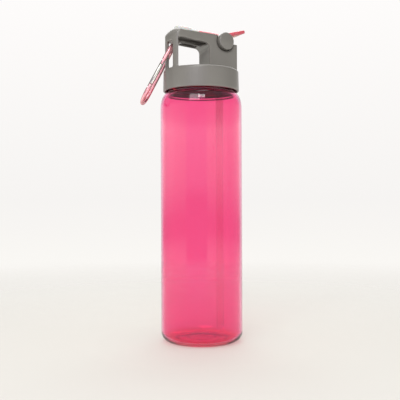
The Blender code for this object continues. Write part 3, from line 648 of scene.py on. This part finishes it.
outline = [(0, 0), (groove_start, 0), (groove_start + GROOVE_DEPTH, GROOVE_DEPTH),
           (groove_end - GROOVE_DEPTH, GROOVE_DEPTH), (groove_end, 0)]
outline += bow((BODY_RADIUS - BASE_CORNER, BASE_CORNER), BASE_CORNER, -90, 0, OUTER_STEPS)
outline += shoulder(BODY_RADIUS, NECK_RADIUS, SHOULDER_RISE, quarter)
outline += [(NECK_RADIUS, MOUTH_Z - MOUTH_EDGE), (NECK_RADIUS - MOUTH_EDGE, MOUTH_Z)]
outline += [(bore + MOUTH_EDGE, MOUTH_Z), (bore, MOUTH_Z - MOUTH_EDGE)]
outline += shoulder(inner, bore, inner_rise, reversed(quarter))
outline += bow((inner - inner_corner, FLOOR_Z + inner_corner), inner_corner, 0, -90, INNER_STEPS)
outline += [(0, FLOOR_Z)]
put("clear_body", spun(outline, BODY_STEPS), clear_pink, "bottle", "bottle_clear", "bottle_body")

# %% [markdown]
# ## The straw
# The straw is an extruded tube, cut on the slant so that its end can't seal itself against the base. It
# is spun like the body, and its lower end is then sheared.

# %% the straw
low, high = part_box("straw")
STRAW_X = (low.x + high.x) / 2
STRAW_RADIUS = (high.x - low.x) / 2
STRAW_WALL = 0.00085
STRAW_BORE = STRAW_RADIUS - STRAW_WALL
STRAW_SLANT = 0.0040
FINE_STEPS = 48

tube = [(STRAW_RADIUS, high.z), (STRAW_RADIUS, low.z), (STRAW_BORE, low.z), (STRAW_BORE, high.z)]
straw = spun(tube, FINE_STEPS)
for v in straw.verts:
    if v.co.z < (low.z + high.z) / 2:
        v.co.z += STRAW_SLANT * (v.co.x + STRAW_RADIUS) / (2 * STRAW_RADIUS)
bmesh.ops.translate(straw, verts=straw.verts, vec=(STRAW_X, 0, 0))
put("straw_tube", straw, straw_clear, "lid", "straw_clear", "straw")

# %% [markdown]
# ## The soft tip
# The mouthpiece is a bulb of milky silicone with a rolled lip and a small bore, pulled over the spout's
# spigot. It is drawn standing up, spun, and then laid down along the handle.

# %% mouthpiece sizes
low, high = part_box("mouthpiece")
TIP_LENGTH = high.x - low.x
TIP_BULB = (high.z - low.z) / 2
TIP_ROOT = 0.0038
TIP_BEAD = 0.0039
TIP_BEAD_Z = 0.0004
TIP_NECK = 0.0026
TIP_SWELL = 0.0084
TIP_LIP = 0.0026
LIP_TURN = 80
LIP_STEPS = 10
TIP_MOUTH = 0.0022
TIP_BORE = 0.0016
TIP_FLARE = 0.0008
SPIGOT_RADIUS = 0.0031
SPIGOT_DEPTH = 0.0068
SWELL_STEPS = 12
print("tip is", round(2 * TIP_BULB, 4), "m across and", round(TIP_LENGTH, 4), "m long")

# %% mouthpiece
swell = [(i / SWELL_STEPS, (1 - cos(pi * i / SWELL_STEPS)) / 2) for i in range(1, SWELL_STEPS + 1)]
tip = [(TIP_ROOT, 0.0), (TIP_BEAD, TIP_BEAD_Z), (TIP_ROOT, TIP_NECK)]
tip += [(TIP_ROOT + (TIP_BULB - TIP_ROOT) * ease, TIP_NECK + TIP_SWELL * share) for share, ease in swell]
tip += bow((TIP_BULB - TIP_LIP, TIP_LENGTH - TIP_LIP), TIP_LIP, 0, LIP_TURN, LIP_STEPS)
tip += [(TIP_MOUTH, TIP_LENGTH), (TIP_BORE, TIP_LENGTH - TIP_FLARE), (TIP_BORE, SPIGOT_DEPTH)]
tip += [(SPIGOT_RADIUS, SPIGOT_DEPTH), (SPIGOT_RADIUS, 0.0)]
soft = spun(tip, FINE_STEPS)
bmesh.ops.transform(soft, matrix=Matrix.Rotation(radians(-90), 4, "Y"), verts=soft.verts)
bmesh.ops.translate(soft, verts=soft.verts, vec=(high.x, 0, (low.z + high.z) / 2))
put("soft_tip", soft, silicone, "spout", "soft_milky", "mouthpiece")

# %% [markdown]
# ## Screw threads
# One bead winds round the neck and another inside the skirt. A spin that also climbs makes a helix, and
# each bead is low enough to pass the other at any turn.

# %% a helical bead
THREAD_HEIGHT = 0.0006
THREAD_LEAD = 0.006
THREAD_TURNS = 1.5
THREAD_STEPS = 72
THREAD_SECTION = ((-0.15, -0.0011), (1.0, -0.0003), (1.0, 0.0003), (-0.15, 0.0011))
NECK_THREAD_DROP = 0.0115
LID_THREAD_RISE = 0.0028
LID_THREAD_RADIUS = 0.0306
FADE_RATE = 12
FADED_SHARE = 0.05


def thread(radius, bulge, start_z):
    """A bead on a cylinder: bulge is outward when positive, with ends that fade into the wall."""
    bm = bmesh.new()
    section = [bm.verts.new((radius + bulge * out, 0, start_z + rise)) for out, rise in THREAD_SECTION]
    edges = [bm.edges.new(pair) for pair in zip(section, section[1:] + section[:1])]
    climb = (0, 0, THREAD_LEAD / THREAD_STEPS)
    bmesh.ops.spin(bm, geom=section + edges, cent=(0, 0, 0), axis=(0, 0, 1), dvec=climb,
                   angle=2 * pi * THREAD_TURNS, steps=int(THREAD_TURNS * THREAD_STEPS), use_merge=False,
                   use_duplicate=False)
    bmesh.ops.holes_fill(bm, edges=[e for e in bm.edges if e.is_boundary], sides=4)
    for v in bm.verts:
        share = (v.co.z - start_z) / (THREAD_LEAD * THREAD_TURNS)
        fade = max(FADED_SHARE, min(1.0, share * FADE_RATE, (1 - share) * FADE_RATE))
        reach = v.co.xy.length
        if (reach - radius) * bulge > 0:
            v.co.xy *= (radius + (reach - radius) * fade) / reach
    return bm


on_neck = thread(NECK_RADIUS, THREAD_HEIGHT, MOUTH_Z - NECK_THREAD_DROP)
put("neck_thread", on_neck, clear_pink, "bottle", "bottle_clear")
in_skirt = thread(LID_THREAD_RADIUS, -THREAD_HEIGHT, SKIRT_FOOT + LID_THREAD_RISE)
put("lid_thread", in_skirt, grey, "lid", "lid_grey")

# %% [markdown]
# ## Studio floor
# The bottle stands on pale paper. The floor is a disc that turns clear with distance, so that it fades
# into the surround and no edge shows, and it still catches the pink glow that comes through the body.

# %% floor
FLOOR_RADIUS = 0.80
FLOOR_SIDES = 96
FLOOR_GAP = 0.0002

disc = bmesh.new()
bmesh.ops.create_circle(disc, cap_ends=True, radius=FLOOR_RADIUS, segments=FLOOR_SIDES)
paper = Finish("floor", base_color=(0.812, 0.791, 0.742), roughness=0.7, specular_ior_level=0.15)
spot = paper.place((1 / FLOOR_RADIUS, 1 / FLOOR_RADIUS, 0))
away = paper.add("VectorMath", {"operation": "LENGTH"}, {0: spot}, out="Value")
paper.show_through(away.ramp((0.12, BLACK), (0.55, (0.75, 0.75, 0.75)), (0.90, WHITE)))
floor = as_object("floor", disc)
floor.data.materials.append(paper.material)
floor.location.z = -FLOOR_GAP
tell(paper)

# %% [markdown]
# ## Surround
# Clear plastic and metal are only as good as what they mirror. One white world would make the bottle look
# flat, so the world shows three things: a pale backdrop where one looks straight at it or through the
# plastic, bands of light and dark where it is mirrored, as pale walls, a dim gap and a bright strip above
# eye level would give, and an even daylight for all matt surfaces. The bands don't follow the camera:
# they stay where they are as it moves.

# %% what lies behind the bottle
LOWEST_RISE = -0.2
RISE_SPAN = 0.5

world = bpy.data.worlds.new("studio")
bpy.context.scene.world = world
world.use_nodes = True
sky = Recipe(world.node_tree)
ray = sky.add("TexCoord", out="Generated")
east, north, rise = (sky.add("SeparateXYZ", sockets={0: ray}, out=axis) for axis in "XYZ")
level = 1 / RISE_SPAN * (rise - LOWEST_RISE)
backdrop = level.ramp((0.16, (0.895, 0.876, 0.842)), (0.22, (0.955, 0.937, 0.904)),
                      (0.31, (0.935, 0.917, 0.892)), (0.40, (0.922, 0.905, 0.888)),
                      (0.70, (0.955, 0.938, 0.925)), (0.98, (0.991, 0.973, 0.965)))
print("backdrop runs up the world", world.name)

# %% [markdown]
# One ramp paints the bands by height, and a second dims them towards the back. The gap between the walls
# lies on the camera's side, below eye level.

# %% bands that are mirrored, from the floor up
BANDS = {0.04: 0.87, 0.109: 0.80, 0.145: 0.64, 0.182: 0.52, 0.218: 0.367, 0.2545: 0.14,
         0.30: 0.14, 0.33: 0.22, 0.36: 0.333, 0.40: 0.473, 0.45: 0.65, 0.52: 0.767,
         0.60: 0.917, 0.635: 1.0, 0.66: 0.633, 0.70: 0.417, 0.80: 0.26, 1.0: 0.173}
GAP_TURN = VIEW_TURN + radians(14)
GAP_DIM = (0.15, 0.14, 0.17)
GAP_SHARE = 0.9

by_height = level.ramp(*((stop, (shade,) * 3) for stop, shade in BANDS.items()))
frontward = 0.5 * (-sin(GAP_TURN) * east - cos(GAP_TURN) * north) + 0.5
by_side = frontward.ramp((0.20, (0.58, 0.565, 0.52)), (0.42, (0.62, 0.605, 0.56)),
                         (0.60, (0.95, 0.93, 0.87)), (0.925, (1.0, 0.98, 0.92)),
                         (0.945, (0.78, 0.73, 0.88)))
bands = sky.add("Mix", {"data_type": "RGBA", "blend_type": "MULTIPLY"},
                {0: 1.0, 6: by_height, 7: by_side}, out=2)
between_walls = frontward.ramp((0.925, BLACK), (0.945, WHITE))
below_eye = level.ramp((0.135, BLACK), (0.150, WHITE), (0.37, WHITE), (0.42, BLACK))
gap = GAP_SHARE * (between_walls * below_eye)
bands = sky.add("Mix", {"data_type": "RGBA"}, {0: gap, 6: bands, 7: GAP_DIM}, out=2)
print("bands by height:", len(BANDS), "stops")

# %% [markdown]
# A light path says what kind of ray looks at the world, so each kind gets its own picture. Reflections
# that only graze the body run on to what lies behind it, so the bands give way to the backdrop there.
# Otherwise dark outlines would run up both sides.

# %% one world for each kind of ray
MIRROR_STRENGTH = 3.0
DAYLIGHT_STRENGTH = 0.46

camera_ray, glossy_ray, through_ray = (sky.add("LightPath", out=f"Is {kind} Ray")
                                       for kind in ("Camera", "Glossy", "Transmission"))
seen = sky.add("Background", sockets={"Color": backdrop})
daylight = sky.add("Background", sockets={"Color": (1.0, 0.985, 0.965), "Strength": DAYLIGHT_STRENGTH})
mirror = sky.add("Background", sockets={"Color": bands, "Strength": MIRROR_STRENGTH})
behind = (sin(VIEW_TURN) * east + cos(VIEW_TURN) * north).ramp((0.70, BLACK), (0.90, WHITE))
mirror = sky.add("MixShader", sockets={0: behind, 1: mirror, 2: seen})
looked_at = sky.add("MixShader", sockets={0: camera_ray.larger(through_ray), 1: daylight, 2: seen})
mirrored = (glossy_ray - through_ray).larger(0.0)
surround = sky.add("MixShader", sockets={0: mirrored, 1: looked_at, 2: mirror})
sky.feed(world.node_tree.nodes["World Output"].inputs["Surface"], surround)
print("surround is made of", len(sky.tree.nodes), "nodes")

# %% [markdown]
# ## Lamps
# Four soft lamps light the bottle. The back lamp stands behind and above, and sends a pink glow through
# the body on to the floor. The key lamp models the lid, the small front lamp leaves a glint in the neck,
# and the top lamp lifts the handle.

# %% soft lamps: place, size and power of each
LAMPS = {"back": ((0.42, 0.55, 1.00), 0.9, 6.0),
         "key": ((-0.95, -0.70, 1.00), 0.7, 6.6),
         "front": ((-0.46, -0.72, 0.85), 0.30, 2.0),
         "top": ((-0.05, -0.10, 1.30), 0.4, 1.7)}
BOTTLE_MIDDLE = Vector((0, 0, 0.14))

for name, (place, size, power) in LAMPS.items():
    light = bpy.data.lights.new(name, "AREA")
    light.size = size
    light.energy = power
    lamp = bpy.data.objects.new(name, light)
    lamp.location = place
    lamp.rotation_euler = (BOTTLE_MIDDLE - Vector(place)).to_track_quat("-Z", "Y").to_euler()
    bpy.context.scene.collection.objects.link(lamp)
    print(name, "lamp of", power, "W")
